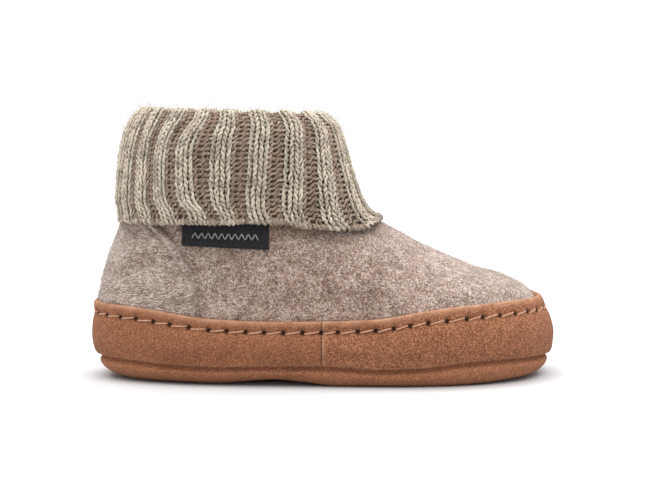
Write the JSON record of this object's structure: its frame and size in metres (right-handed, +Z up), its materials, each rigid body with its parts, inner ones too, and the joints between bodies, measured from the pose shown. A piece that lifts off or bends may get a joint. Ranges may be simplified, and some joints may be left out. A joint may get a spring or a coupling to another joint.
{
  "type": "wool slipper",
  "caption": "Child's ankle-high slipper for the right foot: hollow felt upper, turned-down ribbed knit cuff, felt heel counter, stitched suede rand and padded suede outsole.",
  "frame": {"origin": "on the floor under the middle of the slipper's box", "axes": "+X towards the toe, +Y towards the inner side of the foot, +Z up"},
  "size_m": [0.1698, 0.0742, 0.0988],
  "materials": {
    "outsole_suede": "matt suede, smooth",
    "insole_felt": "matt felt",
    "upper_felt": "heathered boiled-wool felt",
    "counter_felt": "heathered felt with faint level streaks",
    "rand_suede": "napped suede, lighter at its worn edge",
    "cuff_knit": "two-colour rib knit in wool",
    "label_weave": "tight woven tape"
  },
  "bodies": {
    "root": {"outsole": "outsole_suede", "insole": "insole_felt", "upper": "upper_felt", "heel_counter": "counter_felt", "rand_heel": "rand_suede", "rand_toe": "rand_suede", "knit_cuff": "cuff_knit", "label_tab": "label_weave"}
  },
  "joints": []
}
